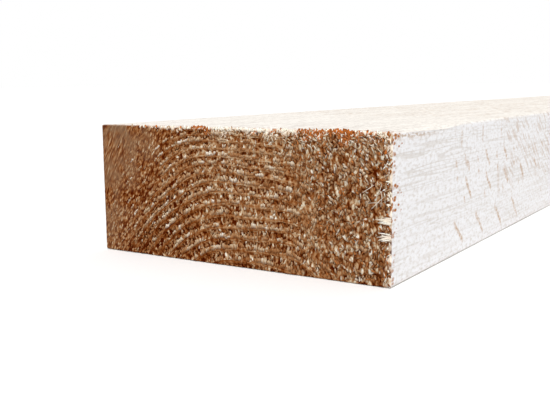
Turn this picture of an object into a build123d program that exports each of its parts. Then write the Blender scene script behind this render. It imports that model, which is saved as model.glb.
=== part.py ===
# Rough-sawn softwood plank: one piece of timber, sawn on four faces and crosscut at both ends.
# Frame: the origin is on the underside below the middle, X runs along the length, Y across
# the width and Z up, so the plank lies flat on one of its wide faces.
import os

from build123d import *

# Driving dimensions, in millimetres
LENGTH = 1800.0
WIDTH = 125.0
THICKNESS = 50.0

# Edges that the saw leaves nearly sharp: the four long arrises, and the rim of each crosscut end
ARRIS_RADIUS = 0.8
END_RIM_CHAMFER = 0.4

# Bruised upper arris at -Y, from the end at -X: flats that drop down the narrow face and reach in over
# the wide face, shallow at the end, deepest further along and then fading out
BRUISE_DROP = 1.4
BRUISE_REACH = 8.0
BRUISE_END_DROP = 0.5
BRUISE_DEEPEST = 46.0
BRUISE_FADE = 26.0


def sawn_section():
    """Cross-section of the plank, standing in the YZ plane on the underside, with eased corners."""
    section = Rectangle(WIDTH, THICKNESS, align=(Align.CENTER, Align.MIN))
    section = fillet(section.vertices(), ARRIS_RADIUS)
    return Plane.YZ * section


def sawn_bar():
    """The section run out to the full length, with the rim of both crosscut ends broken."""
    bar = extrude(sawn_section(), LENGTH / 2, both=True)
    ends = bar.faces().filter_by(Axis.X)
    rims = [edge for end in ends for edge in end.edges()]
    return chamfer(rims, END_RIM_CHAMFER)


def arris_bruise():
    """The sliver knocked off the arris: a wedge that deepens from the end and then tapers to nothing."""
    corner = Vector(-LENGTH / 2, -WIDTH / 2, THICKNESS)
    deepest = corner + Vector(BRUISE_DEEPEST, 0, 0)
    tip = deepest + Vector(BRUISE_FADE, 0, 0)
    down, inward = Vector(0, 0, -BRUISE_DROP), Vector(0, BRUISE_REACH, 0)
    end_share = BRUISE_END_DROP / BRUISE_DROP
    end_down, end_inward = corner + down * end_share, corner + inward * end_share
    sides = [
        (corner, end_inward, end_down),
        (corner, end_down, deepest + down, tip),
        (corner, tip, deepest + inward, end_inward),
        (end_down, end_inward, deepest + inward, deepest + down),
        (deepest + down, deepest + inward, tip),
    ]
    faces = [Face(Wire.make_polygon(points, close=True)) for points in sides]
    return Solid(Shell(faces))


plank = sawn_bar() - arris_bruise()

os.makedirs("parts", exist_ok=True)
export_step(plank, "parts/plank.step")
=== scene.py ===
# Rough-sawn timber plank: pale sawn faces, brown crosscut ends with growth rings and torn fibres.
import math
from collections import namedtuple

import bmesh
import bpy
import numpy as np
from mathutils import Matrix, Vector, noise


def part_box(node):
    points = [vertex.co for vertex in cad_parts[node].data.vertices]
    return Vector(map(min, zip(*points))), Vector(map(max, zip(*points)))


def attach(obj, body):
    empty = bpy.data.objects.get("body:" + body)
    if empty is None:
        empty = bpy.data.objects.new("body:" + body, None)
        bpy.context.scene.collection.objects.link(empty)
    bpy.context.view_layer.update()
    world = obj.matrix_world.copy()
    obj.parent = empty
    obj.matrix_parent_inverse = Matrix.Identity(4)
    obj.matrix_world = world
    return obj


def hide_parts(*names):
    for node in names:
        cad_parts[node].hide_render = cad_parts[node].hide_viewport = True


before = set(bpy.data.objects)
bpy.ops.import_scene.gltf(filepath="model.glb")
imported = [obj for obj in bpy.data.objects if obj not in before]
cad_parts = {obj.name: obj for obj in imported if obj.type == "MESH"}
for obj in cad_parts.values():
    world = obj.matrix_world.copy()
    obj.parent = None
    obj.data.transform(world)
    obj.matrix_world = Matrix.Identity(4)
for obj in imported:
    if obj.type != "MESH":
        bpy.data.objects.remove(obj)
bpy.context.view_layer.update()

# Sizes of the plank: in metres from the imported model, then its length, half width and height in millimetres
MM = 0.001
LOW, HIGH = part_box("plank")
LENGTH, WIDTH, THICK = HIGH - LOW
MID_X, MID_Y, MID_Z = (LOW + HIGH) / 2
LONG, HALF, TALL = LENGTH / MM, WIDTH / 2 / MM, THICK / MM
ARRIS, END_RIM = 0.8 * MM, 0.4 * MM

# Bruised upper arris by the near end, in metres: its drop down the front and reach over the top where it is
# deepest, its drop at the end, how far along it is deepest, and how far on it fades out
BRUISE_DROP, BRUISE_REACH = 1.4 * MM, 8 * MM
BRUISE_END_DROP = 0.5 * MM
BRUISE_DEEPEST, BRUISE_FADE = 46 * MM, 26 * MM

# Mesh cells, in metres: those of the two ends, the steps away from the near rim, then the close stretch and
# the long one, with their cells on the front, back, top and underside
NEAR_CELL, FAR_CELL = 0.45 * MM, 1.25 * MM
RIM_STEPS = [0.3 * MM, 0.5 * MM, 0.8 * MM, 1.2 * MM, 1.2 * MM]
CLOSE_UP, CLOSE_STEP = 170 * MM, 1.0 * MM
CLOSE_CELLS = (0.7 * MM, 4 * MM, 2 * MM, 5 * MM)
LONG_STEP = 8 * MM
LONG_CELLS = (4 * MM, 4 * MM, 4 * MM, 5 * MM)

# Working on the mesh: places this near in metres are the same, an edge longer than this runs along the
# plank, one subdivide makes at most so many pieces, and faces meet smoothly up to an angle in degrees
SAME_PLACE, RUNS_ALONG = 1e-6, 1e-5
MOST_PIECES = 100
SMOOTH_ANGLE = 60

# Faces of an end: how squarely they face along the plank, and how near to its end in metres they lie
END_FACING, END_ZONE = 0.6, 3 * MM

# Fractal noise: how fast it fades from one octave to the next, their step in size, and a shift for each seed
NOISE_FALL, NOISE_STEP = 0.9, 2.1
NOISE_SHIFT = np.array((17.3, 7.1, 3.7))

# Growth rings, in millimetres: where the pith lies, how far it sways along the plank and over what length,
# how wide the rings are and how they narrow outward, how the stem tapers, and their fine waves
PITH_ACROSS, PITH_DOWN = 11.6, 35.4
SWAY_ACROSS, SWAY_UP = (5, 530), (4, 410)
RING_WIDTH, RING_NARROWING, RING_LEAST = 6.8, 0.05, 0.6
RING_START = 0.27
TAPER = 0.009
RING_WAVE, RING_WAVE_SIZE = 0.25, (300, 6, 6)

# Unevenness of the rings, in millimetres and degrees: a drop from left to right that grows outward, a hump
# low on the right, and a squeeze about a line that leans up the middle
RING_DROP, DROP_ANGLES, DROP_RADII = 4.4, (-27, 2), (37, 53)
RING_HUMP, HUMP_PLACE, HUMP_SPREAD = 1.6, (27.6, 13), (8, 9)
RING_SQUEEZE, SQUEEZE_LEVEL = 0.15, 27
SQUEEZE_FOOT, SQUEEZE_LEAN, SQUEEZE_SPREAD = 15.8, 1.1, 20

# Parts of a ring, as shares of it: where the dense band and the torn pits start, are full, ebb and end
LATE_PHASE = (0.48, 0.58, 0.74, 0.84)
PIT_PHASE = (0.02, 0.2, 0.44, 0.56)

# Torn pits, in millimetres: the radius that turns angles into arcs, their size, their stretch along the
# plank, how closely they follow on each other across a ring, and the span of their noise
ARC_RADIUS = 70
PIT_SIZE, PIT_STRETCH, PIT_PER_RING = 1.15, 9, 2.0
PIT_NOISE = (-0.12, 0.2)

# Regions of an end, in millimetres: each line is where it starts and ends across at a level, how far it
# leans to the front for each millimetre of height, and that level
LEFT_LINE = ((-46, -29), 0.5, 25)
RIGHT_LINE = ((11, 33), -0.38, 45)
COARSE_LINE = ((-68, -28), 0.6, 25)

# Angle in degrees of the fibres on the left, and where across they come upright
SLANT, SLANT_FADE = 32, (-46, 0)

# Relief of the ends, in millimetres: the sizes of its features, the depth of each part of it, and how near
# to an end a place counts as on it
TEAR_SIZE, TEAR_PATCH = 1.25, 5.0
SMOOTH_DEPTH, SMOOTH_SWING = 0.12, 0.1
TORN_DEPTH, TORN_SOFT, TORN_PIT, TORN_SWING = 0.08, 0.22, 0.4, 0.12
FUZZY_DEPTH, FUZZY_SWING, FUZZY_PATCH = 0.38, 0.34, 0.2
DEEPEST_TEAR = 1.3
AT_END = 1e-3

# Relief of the long faces, in millimetres: the sizes of the ripples and the depth of each part
RIPPLE_SIZE, BROAD_SIZE = (60, 2.2, 2.2), (140, 30, 30)
FACE_DEPTH, FACE_RIPPLE, FACE_BROAD, DEEPEST_RIPPLE = 0.10, 0.06, 0.05, 0.4

# Depth in metres that a full weight of the relief sinks the surface
MAX_RECESS = 1.6 * MM

# Broken upper rim, in millimetres: how far the fringe lies below the top, how ragged it is, how deep at the
# back, how much deeper between places across, and where across it comes in
RIM_BELOW = 0.2
RIM_RAGGED, RIM_RAGGED_SIZE = (0.15, 1.7), 3.0
RIM_THIN = 0.2
RIM_DEEPER = ((0.3, -46, -30), (1.0, -32, -10), (0.9, 24, 34))
RIM_COMES_IN = (-50, -22)

# Broken front rim, in millimetres: where across it starts and is full, and how long its patches are
FRONT_RIM, FRONT_PATCH = (59.2, 61.8), 2.0

# Both rims, as shares: the span of their noise, their least strength and what is added to it, and how far
# below its top the upper one is full
RIM_NOISE, RIM_STRENGTH, RIM_FULL = (-0.5, 0.6), (0.3, 0.7), 0.2
FRONT_NOISE, FRONT_STRENGTH = (-0.15, 0.2), (0.1, 0.8)

# Rust on the upper rim, in millimetres: patches as share, place across, reach and squareness, then the long
# stretch at the front, where it starts, thins and leaves the front rim, and by how much it does so
RUST_PATCHES = ((0.93, -13.3, 4.4, 4), (0.6, 19, 2, 2), (0.4, -42, 7, 2))
RUST_LEAST, RUST_MOST = 0.03, 0.9
RUST_FRONT, RUST_STARTS, RUST_THINS, RUST_LEAVES = 0.8, (25, 32), (48, 56), (59.5, 61.5)
RUST_THINNER, RUST_LEFT_OFF = 0.6, 0.9

# A chip of torn wood: its sunk root in metres, where it bends and how much there, how flat it is, the turns
# of its three edges in degrees, its faces, and the painted shade at its root, in a dark brown tone, with less
# of it at the bend
CHIP_ROOT = 0.3 * MM
CHIP_BEND, CHIP_BEND_SHARE, CHIP_BEND_WIDTH = 0.55, 0.3, 0.95
CHIP_FLATNESS = 0.5
CHIP_TURNS = (90, 210, 330)
CHIP_FACES = (
    (0, 1, 2), (3, 4, 1, 0), (4, 5, 2, 1), (5, 3, 0, 2),
    (6, 7, 4, 3), (7, 8, 5, 4), (8, 6, 3, 5), (8, 7, 6),
)
CHIP_CORNERS = 9
ROOT_SHADE_TONE, BEND_SHADE = 0.2, 0.25

# How much painted shade, in brown, darkens the roots of the fuzz and of the rim, and how wide their tips are
FUZZ_ROOT_SHADE, FUZZ_TIPS = 0.75, 0.55
RIM_ROOT_SHADE, RIM_TIPS = 0.12, 0.4

# Margin in metres that chips keep from the outline of the end
OUTLINE_MARGIN = 0.4 * MM

# Rows of tufts, in millimetres: where they lie across and up, the steps at which rings are looked for, and
# how many columns there are to a pitch
ROWS_ACROSS, ROWS_UP = (-60, 61.5), (0.3, 49.7)
ROW_STEP, SIDE_STEP = 0.1, 0.3
COLUMNS_PER_PITCH, COLUMN_SHAKE = 3, 0.4

# Tufts in those rows, in millimetres and degrees: their pitch, place in the ring and patches, how many chips
# stand in a clump and how, their height as a share of the ring, and the mean and spread of their lift
TUFT_PITCH, TUFT_PHASE, TUFT_PATCH = 1.9, 0.82, 9.0
TUFT_CHIPS, TUFT_APART = (2, 5), (0.5, 0.75)
TUFT_TURN, TUFT_FAN, TUFT_LEAN = 9, (-4, 12), (2, 10)
TUFT_OUTWARD, TUFT_INWARD_FADE = 0.6, (-40, -18)
TUFT_TALL, TUFT_UNEVEN, TUFT_LIFT = (0.16, 0.42), (0.8, 1.1), (0.1, 0.15)
TUFT_WIDE, TUFT_BEND, TUFT_SUNK = (0.95, 1.6), 0.1, 0.15 * MM
TUFT_SLIM_LEFT, TUFT_FLAT_LEFT = 0.25, 0.4

# Share of the tufts that stand: in the middle at least and by patches, on the left and on the right, the
# span of the patches' noise, and how many fewer there are toward the front, with where that comes in
TUFTS_MIDDLE, TUFTS_LEFT, TUFTS_RIGHT, TUFT_NOISE = (0.6, 0.35), 0.4, 0.1, (-0.3, 0.3)
TUFTS_FEWER, TUFTS_FEWER_FADE = 0.35, (0, 25)

# Tones of the tufts: how much duller they are at the back, on the right, less so high up there, above the
# middle and low down, each with where it comes in, and how patches and chance change them
DULL_BACK, DULL_BACK_FADE = 0.08, (-42, -18)
DULL_RIGHT, DULL_RIGHT_FADE = 0.09, (-5, 8)
LESS_DULL, LESS_DULL_FADE = 0.05, (20, 30)
DULL_HIGH, DULL_HIGH_FADE = 0.02, (20, 32)
DULL_LOW, DULL_LOW_FADE = 0.1, (5, 16)
PATCHY_TONE, PATCHY_MEAN, CHANCE_TONE = 0.16, 0.6, 0.06

# Loose fuzz, in millimetres and degrees: its pitch and how far it is shaken, where it grows, the margin at
# the edges, and its size, lean and bend
FUZZ_PITCH, FUZZ_SHAKE = 0.74, 0.6
FUZZ_ACROSS, FUZZ_UP, FUZZ_MARGIN = (-61, 62), (1.2, 49.4), 0.5
FUZZ_LONG, FUZZ_WIDE, FUZZ_LEAN = (1.1, 2.0), (0.62, 1.08), (4, 20)
FUZZ_BEND, FUZZ_BEND_RIGHT, FUZZ_SUNK = 0.10, 0.04, 0.2 * MM
LONG_SHARE, LONG_TIMES = 0.12, 2.2
TURN_LEFT, TURN_MIDDLE, TURN_RIGHT = 8, 14, 34
RIGHT_TILT, RIGHT_TILT_FADE = 25, (15, 40)

# Share of the fuzz that stands: in soft wood in the middle, on the right, on the left and more where that
# is coarse, and what the rim takes away
FUZZ_MIDDLE, FUZZ_RIGHT, FUZZ_LEFT, FUZZ_COARSE, FUZZ_RIM = 0.2, 0.45, 0.06, 0.2, 0.5

# How the fuzz differs: shorter on the left, in the middle and on the right but for the few long ones, wider
# in the middle, slimmer on the left and where it is long, and flatter in the middle and on the left
SHORT_LEFT, SHORT_MIDDLE, LONG_RIGHT, LONG_EVEN = 0.3, 0.38, 0.4, 1.9
WIDE_MIDDLE, SLIM_LEFT, SLIM_LONG = 0.1, 0.4, 0.2
FLAT_MIDDLE, FLAT_LEFT = 0.4, 0.5

# Mixed tones of chips: for each range its share, its darkest and its palest
TUFT_TONES = ((0.5, 0.7, 0.92), (0.5, 0.47, 0.7))
WILD_TONES = ((0.27, 0.62, 0.94), (0.25, 0.0, 0.3), (0.48, 0.3, 0.62))
SOFT_TONES = ((0.12, 0.62, 0.9), (0.3, 0.1, 0.35), (0.58, 0.38, 0.62))
SLANTED_TONES = ((0.28, 0.6, 0.82), (0.27, 0.05, 0.25), (0.45, 0.35, 0.55))
SLANTED_MEAN, SLANTED_CONTRAST = 0.46, (0.15, 0.85)
ORANGE_SHARE, ORANGE_BRIGHT = 0.14, (0.75, 1.35)

# Fringe of the rim, in millimetres and degrees: the range of a chip's length and width, its bend, its lean
# out of the end and how deep its root lies
Growth = namedtuple("Growth", "lengths widths bend lean sunk")
RIM_GROWTH = Growth((0.5, 1.2), (0.6, 1.3), 0.12, (-12, 6), 0.1)
STRAND_GROWTH = Growth((0.9, 1.9), (0.45, 0.8), 0.2, (0, 12), 0.1)
FRONT_GROWTH = Growth((0.6, 1.5), (0.35, 0.7), 0.15, (0, 20), 0.1)

# Tufts of the upper rim, in millimetres and degrees: how many are tried, where across and where they come
# in, how far below the top the first stand, how far down they reach as a share of the fringe, their turn,
# how far their tips tuck in, the share that stand, how they crowd, and how wooden the lower ones are
RIM_TRIED, RIM_ACROSS, RIM_STARTS = 1500, (-50, 61.5), (-50, -14)
RIM_FIRST, RIM_DOWN, RIM_TURN, RIM_TUCK = 0.5, 1.15, 38, 0.1
RIM_SHARE, RIM_CROWDING = (0.12, 0.14), 1.5
RIM_WOOD_TONE, RIM_WOODEN, RIM_WOODEN_FADE = 0.6, 0.6, (0.25, 0.8)

# Brightness of the rusty and the cream tufts of the rim, and the tones and share of plain wood among them
RUST_BRIGHT, CREAM_BRIGHT = (0.5, 1.15), (0.95, 1.3)
PLAIN_TONES, PLAIN_SHARE = (0.4, 0.8), 0.08

# Pale strands below the upper rim, in millimetres and degrees: how many, where across, the highest, how far
# down they reach, the mean and spread of their turn, how they crowd upward, and their tones
STRANDS, STRANDS_ACROSS, STRANDS_TOP, STRANDS_DOWN = 80, (14, 60), 49, 6
STRANDS_TURN, STRANDS_CROWDING, STRANDS_TONES = (-28, 32), 1.4, (0.65, 0.95)

# Tufts of the front rim, in millimetres and degrees: how many are tried, where up, the edge and how far in
# from it, their patches, the mean and spread of their turn, and how many stand, are plain and are rusty
FRONT_TRIED, FRONT_UP, FRONT_EDGE, FRONT_DEEP = 300, (2.4, 48), 62.0, 2.2
FRONT_CLUMP, CLUMP_NOISE, FRONT_TURN = 9.0, (-0.2, 0.35), (10, 45)
FRONT_SHARE, FRONT_PLAIN, FRONT_RUSTY = (0.2, 0.7), 0.5, 0.2

# Splinters at the front rim, in millimetres and degrees: the heights of the two flat ones, and each long
# sliver as its place across, its height and its angle from upright
FLAT_SPLINTERS = (21.7, 16.5)
SLIVERS = ((54.5, 27.0, 66), (58.8, 26.5, 14), (56.0, 25.5, 48), (57.5, 29.0, 30), (52.5, 30.5, 62))

# The strands of a flat splinter: where across they start, their number, how far up and down they spread,
# and their angle, how far tufts keep clear of them, then the looks of the strands and of the slivers
SPLINTER_ACROSS, SPLINTER_STRANDS, SPLINTER_SPREAD, SPLINTER_ANGLE = 62.2, 7, 1.0, -90
SPLINTER_CLEAR, SPLINTER_SHAKE, SPLINTER_TURN = 2.2, 0.6, 8
SPLINTER_LONG, SLIVER_LONG = (2.2, 5.2), (3.5, 6)
SPLINTER_WIDE, SLIVER_WIDE = 0.55, 0.32
SPLINTER_BEND, SLIVER_BEND = 0.15, 0.5
SPLINTER_BRIGHT, SLIVER_BRIGHT = (0.8, 1.3), (0.65, 0.95)
SPLINTER_LEAN, SPLINTER_PROUD = (3, 9), 0.1 * MM

# Seed of the random draws
SEED = 11

# Saw marks on the narrow faces, in millimetres: how far apart they come again, each dash as its start along
# the plank, its height there, its run along and its drop, then their soft ends, width and wander
MARK_REPEAT = 24.5
SAW_DASHES = (
    (62.5, 46.0, 0.8, 3.0),
    (57.0, 35.2, 1.6, 1.0),
    (66.9, 37.2, 5.6, 5.4),
    (58.2, 29.8, 1.6, 1.0),
    (68.1, 28.1, 7.0, 6.8),
    (66.6, 20.2, 1.6, 1.0),
    (56.4, 13.0, 9.8, 8.8),
)
DASH_SOFT, DASH_WIDE = 0.8, (0.25, 1.35)
DASH_WANDER = 3.0

# Where the dashes come in and thin out along the plank, where the streaks begin, and the upright mark
# before them by its place at the underside, its lean and its width, all in millimetres
DASHES_IN, DASHES_OUT = (48, 60), (128, 150)
STREAKS_IN, STREAKS_UP = (110, 122), (14, 30)
UPRIGHT_ALONG, UPRIGHT_LEAN, UPRIGHT_WIDE, UPRIGHT_UP = 114.5, -0.2, (0.4, 2.4), (14, 19, 28, 32)

# Striations: how many to a swing of the noise, and the stretch along which they weaken
LINE_COUNT, LINES_WEAKEN = 4, (20, 70)

# Crushed wood with painted shade under the upper arris: its heights and how far along it thins, in
# millimetres
CRUSHED_SHADE_UP, CRUSHED_SHADE_THINS = (46.0, 48.8), (18, 46)

# Brown specks by the ends: the heights where they lie thick, and how fast they thin along the plank there
# and elsewhere
SPECKS_LOWER, SPECKS_UPPER = (20, 25, 33, 37), (41, 45)
SPECKS_THIN, SPECKS_THIN_FAST = 0.045, 0.1

# Textures of the long faces, in millimetres along, across and up
STRIPE_SIZE, CLOUD_SIZE, FLUFF_SIZE = (75, 2.4, 2.4), (70, 16, 16), (2.4, 1.2, 1.2)
STREAK_SIZE, STREAK_TURN = (11, 3, 1.7), (0, 36, 0)
BEND_SIZE, SPECK_SIZE = (6, 6, 6), (2.6, 1.25, 1.35)
FACE_BUMP, FACE_BUMP_SHARE = 0.25 * MM, 0.6

# Strength of the layers of colour on the long faces, and their roughness and gloss
BAND_SHARE, FLUFF_SHARE, STREAK_SHARE, DASH_SHARE = 0.05, 0.68, 0.4, 0.72
FACE_ROUGHNESS, FACE_GLOSS = 0.85, 0.1

# Textures of the ends, in millimetres along, across and up, with their turns in degrees
UPRIGHT_SIZE, BLOTCH_SIZE, PATCH_SIZE = (3, 1.2, 2.2), (3, 1.8, 2.4), (9, 9, 9)
SLANTED_SIZE, SLANTED_TURN = (3, 0.66, 2.0), (28, 0, 0)
HATCH_SIZE, HATCH_TURN = (3, 0.58, 4.5), (27, 0, 0)
TORN_GRAIN, LEFT_GRAIN, FUZZY_GRAIN = (3, 1.25, 2.0), (3, 1.0, 1.6), (3, 1.3, 2.1)
LEFT_GRAIN_TURN = (20, 0, 0)
SPOT_ARC, SPOT_PER_RING = 1.45, 1.7
LINE_ARC, LINE_PER_RING = 9, 9
END_BUMP, END_BUMP_SHARE, END_ROUGHNESS = 0.5 * MM, 0.5, 0.9
FIBRE_SIZE = (0.4, 0.4, 0.4)

# Parts of a ring in the colour: the dense band, the painted shade along its inner edge below its step, and
# the pits of painted shade with their shift
BAND_PHASE = (0.50, 0.58, 0.74, 0.82)
SHADED_EDGE_PHASE = (0.36, 0.46, 0.52, 0.62)
HOLE_PHASE, HOLE_SHIFT = (0.02, 0.14, 0.62, 0.74), 0.2

# Where the tones of the ringed middle change, in millimetres across and up from the pith
TORN_PALER, SMOOTH_PALER, PITS_PALER = (-30, 0), (-50, 8), (-48, -20)
SMOOTH_UP, PITS_UP, DULL_UP = (55, 75), (55, 78), (38, 52)

# Colours of the wood, as they look in daylight
PALE_FACE = (0.924, 0.922, 0.9285)
CREAM_FACE = (0.975, 0.955, 0.925)
GREY_LINE = (0.80, 0.77, 0.74)
TAN_MARK = (0.70, 0.58, 0.46)
RUST = (0.78, 0.44, 0.19)
ORANGE_BROWN = (0.68, 0.43, 0.24)
GREY_BROWN = (0.50, 0.385, 0.29)
RIM_CREAM = (1.0, 0.955, 0.89)
BROWN_SPECK = (0.66, 0.41, 0.20)
DASH_TAN = (0.72, 0.575, 0.43)

# Tones of the crosscut wood, from the dark of a pit through brown to the white of a torn tuft
WOOD_TONES = (
    (0.00, (0.30, 0.09, 0.005)),
    (0.25, (0.50, 0.28, 0.115)),
    (0.50, (0.66, 0.49, 0.335)),
    (0.75, (0.795, 0.72, 0.605)),
    (1.00, (0.955, 0.94, 0.895)),
)
MIDDLE_TONE = WOOD_TONES[2][1]

# Stage: the floor in metres, the light, and the camera by its place from the near lower front corner in
# metres and its turns in degrees
FLOOR_SIZE, FLOOR_DROP, FLOOR_WHITE = 60, 0.2 * MM, (0.97, 0.97, 0.97, 1)
WHITE = (1, 1, 1, 1)
SKY_LIGHT, SKY_SEEN = 0.5, 1.0
SUN_LIGHT, SUN_SPREAD, TO_SUN = 2.4, 15, (-0.45, -0.35, 0.82)
LENS, SENSOR, CLIP_START = 51.85, 36, 0.01
CAMERA_FROM_CORNER = (-0.226653, -0.102512, 0.064780)
CAMERA_TURN = (81.725, 0.531, -57.252)


# Helpers for colour and numbers

def linear(colour):
    """A colour as written for the eye, as the shader's linear values with alpha."""
    return tuple(c / 12.92 if c <= 0.04045 else ((c + 0.055) / 1.055) ** 2.4 for c in colour) + (1.0,)


def light_of(colour):
    """The linear values of a colour as an array, without alpha."""
    return np.array(linear(colour)[:3])


def wood_tone(shares):
    """Linear colours along the tones of the wood, for an array of shares from 0 to 1."""
    stops = [place for place, colour in WOOD_TONES]
    colours = np.array([light_of(colour) for place, colour in WOOD_TONES])
    return np.stack([np.interp(shares, stops, colours[:, channel]) for channel in range(3)], axis=1)


def share_between(low, high, value):
    """Even rise from 0 at low to 1 at high."""
    return np.clip((value - low) / (high - low), 0, 1)


def fade(low, high, value):
    """Smooth rise from 0 at low to 1 at high."""
    t = share_between(low, high, value)
    return t * t * (3 - 2 * t)


def from_least(least, added, share):
    """A least amount and a share of what is added to it."""
    return least + added * share


def plateau(start, full, ebb, end, value):
    """Smooth rise from start to full, and smooth fall from ebb to end."""
    return fade(start, full, value) * (1 - fade(ebb, end, value))


def rough(points, size, octaves=2, shift=0.0):
    """Fractal noise of about -1 to 1 at points in millimetres, with features of about the given size."""
    moved = points / np.broadcast_to(size, 3) + shift * NOISE_SHIFT
    return np.array([noise.fractal(Vector(p), NOISE_FALL, NOISE_STEP, octaves) for p in moved])


def plank_mm(points):
    """Places in the plank in millimetres: along from the near end, across to the front, up from below."""
    points = np.asarray(points)
    along = (points[:, 0] - LOW.x) / MM
    across = (MID_Y - points[:, 1]) / MM
    up = (points[:, 2] - LOW.z) / MM
    return np.stack((along, across, up), axis=1)


def on_axis(values, axis):
    """Places in millimetres on one axis of the plank: 0 along, 1 across, 2 up."""
    places = np.zeros((len(values), 3))
    places[:, axis] = values
    return places


def ring_number(places):
    """Growth-ring number at places in millimetres, rising outward from the pith."""
    along, across, up = places.T
    across = across - SWAY_ACROSS[0] * np.sin(along / SWAY_ACROSS[1])
    up = up + SWAY_UP[0] * np.sin(along / SWAY_UP[1])
    radius = np.hypot(across - PITH_ACROSS, up + PITH_DOWN)
    angle = np.degrees(np.arctan2(across - PITH_ACROSS, up + PITH_DOWN))
    drop = RING_DROP * fade(*DROP_ANGLES, angle) * share_between(*DROP_RADII, radius)
    hump_across = (across - HUMP_PLACE[0]) / HUMP_SPREAD[0]
    hump_up = (up - HUMP_PLACE[1]) / HUMP_SPREAD[1]
    hump = RING_HUMP * np.exp(-hump_across ** 2 - hump_up ** 2)
    from_line = (across - SQUEEZE_FOOT + SQUEEZE_LEAN * up) / SQUEEZE_SPREAD
    squeeze = RING_SQUEEZE * (up - SQUEEZE_LEVEL) * np.exp(-from_line ** 2)
    wave = RING_WAVE * rough(places, RING_WAVE_SIZE, 2)
    radius = radius + drop - hump - squeeze + wave + TAPER * along
    width = np.maximum(RING_WIDTH - RING_NARROWING * radius, RING_LEAST)
    return -np.log(width) / RING_NARROWING - RING_START


def ring_spacing(ring):
    """Distance in millimetres from one ring to the next."""
    return np.exp(-(ring + RING_START) * RING_NARROWING)


# Helpers for working as by hand

def deselect():
    """Leaves edit mode and deselects everything."""
    if bpy.context.object and bpy.context.object.mode != "OBJECT":
        bpy.ops.object.mode_set(mode="OBJECT")
    bpy.ops.object.select_all(action="DESELECT")


def select_only(obj):
    """Makes one object the only selected and the active one."""
    deselect()
    bpy.context.view_layer.objects.active = obj
    obj.select_set(True)


def select_edges(obj, test, open_only=False):
    """Selects the edges of a mesh in edit mode whose two ends pass the test."""
    mesh = bmesh.from_edit_mesh(obj.data)
    bpy.ops.mesh.select_all(action="DESELECT")
    for edge in mesh.edges:
        if open_only and len(edge.link_faces) > 1:
            continue
        if test(edge.verts[0].co, edge.verts[1].co):
            edge.select_set(True)
    bmesh.update_edit_mesh(obj.data)


def split_edges(obj, test, count):
    """Divides the edges that pass the test into about count pieces each."""
    passes = [count]
    if count > MOST_PIECES:
        first = math.ceil(count / MOST_PIECES)
        passes = [first, round(count / first)]
    for pieces in passes:
        select_edges(obj, test)
        bpy.ops.mesh.subdivide(number_cuts=pieces - 1)


def at_x(*places):
    """A test for edges that lie across the plank at one of the places."""
    return lambda a, b: any(abs(a.x - x) < SAME_PLACE and abs(b.x - x) < SAME_PLACE for x in places)


def along_between(start_x, end_x):
    """A test for edges that run along the plank between two places."""
    low_x, high_x = start_x - SAME_PLACE, end_x + SAME_PLACE
    return lambda a, b: abs(a.x - b.x) > RUNS_ALONG and min(a.x, b.x) > low_x and max(a.x, b.x) < high_x


def lay_flat_on_end(obj, thick, wide):
    """Gives a unit plane that stands across the plank its size, and applies its place to its mesh."""
    obj.scale = (thick, wide, 1)
    bpy.ops.object.transform_apply(location=True, rotation=True, scale=True)


def section_loop(x, face_cells):
    """A loop of edges round the plank's section at x, with eased corners and a cell size for each face."""
    front, back, top, bottom = face_cells
    deselect()
    bpy.ops.mesh.primitive_plane_add(size=1, location=(x, MID_Y, MID_Z), rotation=(0, math.pi / 2, 0))
    loop = bpy.context.object
    lay_flat_on_end(loop, THICK, WIDTH)
    bpy.ops.object.mode_set(mode="EDIT")
    bpy.ops.mesh.select_all(action="SELECT")
    bpy.ops.mesh.bevel(offset=ARRIS, segments=2, affect="VERTICES")
    split_edges(loop, lambda a, b: max(a.y, b.y) < LOW.y + SAME_PLACE, round(THICK / front))
    split_edges(loop, lambda a, b: min(a.y, b.y) > HIGH.y - SAME_PLACE, round(THICK / back))
    split_edges(loop, lambda a, b: min(a.z, b.z) > HIGH.z - SAME_PLACE, round(WIDTH / top))
    split_edges(loop, lambda a, b: max(a.z, b.z) < LOW.z + SAME_PLACE, round(WIDTH / bottom))
    bpy.ops.mesh.select_all(action="SELECT")
    bpy.ops.mesh.delete(type="ONLY_FACE")
    bpy.ops.object.mode_set(mode="OBJECT")
    return loop


def end_grid(x, cell):
    """A fine grid over one crosscut end, inside its rim."""
    deselect()
    bpy.ops.mesh.primitive_grid_add(
        x_subdivisions=round(THICK / cell), y_subdivisions=round(WIDTH / cell), size=1,
        location=(x, MID_Y, MID_Z), rotation=(0, math.pi / 2, 0))
    grid = bpy.context.object
    lay_flat_on_end(grid, THICK - 2 * END_RIM, WIDTH - 2 * END_RIM)
    return grid


def run_out(loop, x, steps):
    """Extrudes the loop of edges at x along the plank, step by step, and returns where it ends."""
    select_edges(loop, at_x(x))
    for step in steps:
        bpy.ops.mesh.extrude_region_move(TRANSFORM_OT_translate={"value": (step, 0, 0)})
        x += step
    return x


def run_out_evenly(loop, x, length, step):
    """Extrudes the loop at x by a length, divides that stretch evenly and returns where it ends."""
    end_x = run_out(loop, x, [length])
    split_edges(loop, along_between(x, end_x), round(length / step))
    return end_x


def bridge(obj, xa, xb):
    """Joins the open loops at two places along the plank with a strip of faces."""
    select_edges(obj, at_x(xa, xb), open_only=True)
    bpy.ops.mesh.bridge_edge_loops()


def join_pieces(pieces):
    """Joins several objects into the first of them."""
    deselect()
    for piece in pieces:
        piece.select_set(True)
    bpy.context.view_layer.objects.active = pieces[0]
    bpy.ops.object.join()
    return pieces[0]


def mesh_points(mesh):
    """The places of a mesh's vertices as an array."""
    flat = np.empty(len(mesh.vertices) * 3)
    mesh.vertices.foreach_get("co", flat)
    return flat.reshape(-1, 3)


# The plank

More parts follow.
